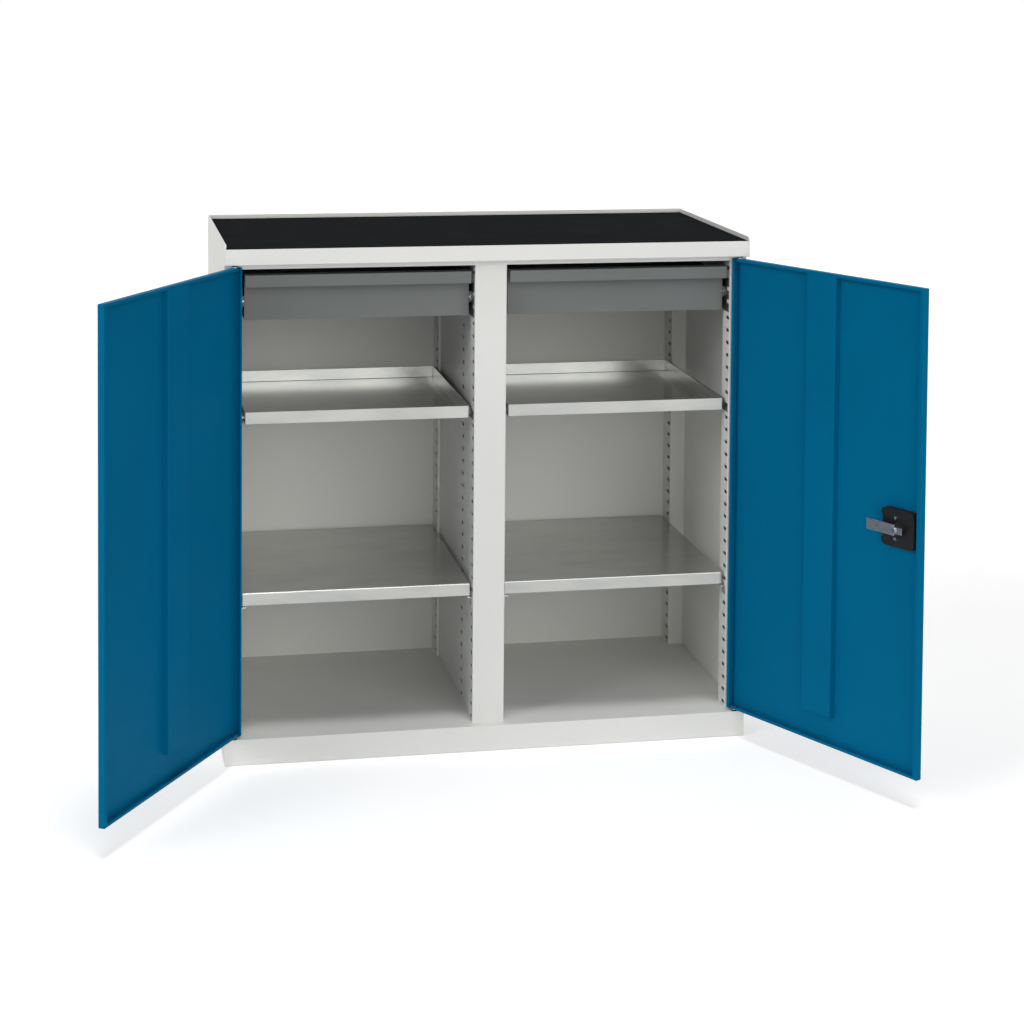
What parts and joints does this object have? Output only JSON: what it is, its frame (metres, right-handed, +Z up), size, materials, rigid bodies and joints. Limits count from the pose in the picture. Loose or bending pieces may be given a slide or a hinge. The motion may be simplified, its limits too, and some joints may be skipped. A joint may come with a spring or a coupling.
{
  "type": "two-door workshop cabinet",
  "caption": "Low steel workshop cabinet with hinged doors, a centre partition, drawers, pull-out trays, fixed shelves, a cam lock and a rimmed top with a rubber mat.",
  "frame": {"origin": "centre of the carcass footprint, on the floor", "axes": "+X to the right of a person facing the doors, +Y to the back, +Z up"},
  "size_m": [1.4767, 0.9618, 1],
  "materials": {
    "light_grey_paint": "satin powder coat",
    "blue_paint": "satin powder coat",
    "dark_grey_paint": "satin powder coat",
    "zinc_steel": "bright galvanised sheet",
    "dark_steel": "darkened steel",
    "mat_rubber": "fine ribbed rubber",
    "black_plastic": "fine grained",
    "plain_steel": "rolled",
    "bright_screw": "zinc plated"
  },
  "bodies": {
    "carcass": {"back_panel": "light_grey_paint", "base_beam": "light_grey_paint", "base_rail_rear": "light_grey_paint", "centre_post_front": "light_grey_paint", "centre_post_rear": "light_grey_paint", "fascia_rail": "light_grey_paint", "floor_panel": "light_grey_paint", "left_drawer_runner_inner": "dark_steel", "left_drawer_runner_outer": "dark_steel", "left_front_upright": "light_grey_paint", "left_partition_skin": "light_grey_paint", "left_pivot_bushes": "black_plastic", "left_rear_upright": "light_grey_paint", "left_shelf": "zinc_steel", "left_shelf_clips": "zinc_steel", "left_side_panel": "light_grey_paint", "left_tray_runner_inner": "dark_steel", "left_tray_runner_outer": "dark_steel", "plinth_front": "light_grey_paint", "right_drawer_runner_inner": "dark_steel", "right_drawer_runner_outer": "dark_steel", "right_front_upright": "light_grey_paint", "right_partition_skin": "light_grey_paint", "right_pivot_bushes": "black_plastic", "right_rear_upright": "light_grey_paint", "right_shelf": "zinc_steel", "right_shelf_clips": "zinc_steel", "right_side_panel": "light_grey_paint", "right_tray_runner_inner": "dark_steel", "right_tray_runner_outer": "dark_steel", "top_mat": "mat_rubber", "top_panel": "light_grey_paint"},
    "left_door": {"left_door_pan": "blue_paint", "left_door_stiffener": "blue_paint", "left_door_pivot_pins": "plain_steel"},
    "right_door": {"right_door_pan": "blue_paint", "right_door_stiffener": "blue_paint", "right_door_pivot_pins": "plain_steel", "lock_case": "black_plastic", "lock_case_screws": "bright_screw", "door_handle": "black_plastic"},
    "lock": {"lock_spindle": "plain_steel", "lock_cam": "plain_steel", "lock_cam_screw": "bright_screw"},
    "left_drawer": {"left_drawer_front": "dark_grey_paint", "left_drawer_pan": "dark_grey_paint", "left_drawer_rail_outer": "zinc_steel", "left_drawer_rail_inner": "zinc_steel"},
    "left_tray": {"left_tray_pan": "zinc_steel", "left_tray_rail_outer": "zinc_steel", "left_tray_rail_inner": "zinc_steel"},
    "right_drawer": {"right_drawer_front": "dark_grey_paint", "right_drawer_pan": "dark_grey_paint", "right_drawer_rail_outer": "zinc_steel", "right_drawer_rail_inner": "zinc_steel"},
    "right_tray": {"right_tray_pan": "zinc_steel", "right_tray_rail_outer": "zinc_steel", "right_tray_rail_inner": "zinc_steel"}
  },
  "joints": [
    {"name": "left_door_swing", "type": "hinge", "parent": "carcass", "child": "left_door", "pos_m": [-0.497, -0.2535, 0.5], "axis": [0, 0, -1], "range_deg": [-121.25, 58.75]},
    {"name": "right_door_swing", "type": "hinge", "parent": "carcass", "child": "right_door", "pos_m": [0.497, -0.2535, 0.5], "axis": [0, 0, 1], "range_deg": [-115.8, 64.2]},
    {"name": "lock_turn", "type": "hinge", "parent": "right_door", "child": "lock", "pos_m": [0.67146, -0.66287, 0.5085], "axis": [-0.9003, -0.4352, 0], "range_deg": [-180, 0]},
    {"name": "left_drawer_slide", "type": "slide", "parent": "carcass", "child": "left_drawer", "axis": [0, -1, 0], "range_m": [0, 0.3]},
    {"name": "left_tray_slide", "type": "slide", "parent": "carcass", "child": "left_tray", "axis": [0, -1, 0], "range_m": [0, 0.3]},
    {"name": "right_drawer_slide", "type": "slide", "parent": "carcass", "child": "right_drawer", "axis": [0, -1, 0], "range_m": [0, 0.3]},
    {"name": "right_tray_slide", "type": "slide", "parent": "carcass", "child": "right_tray", "axis": [0, -1, 0], "range_m": [0, 0.3]}
  ]
}
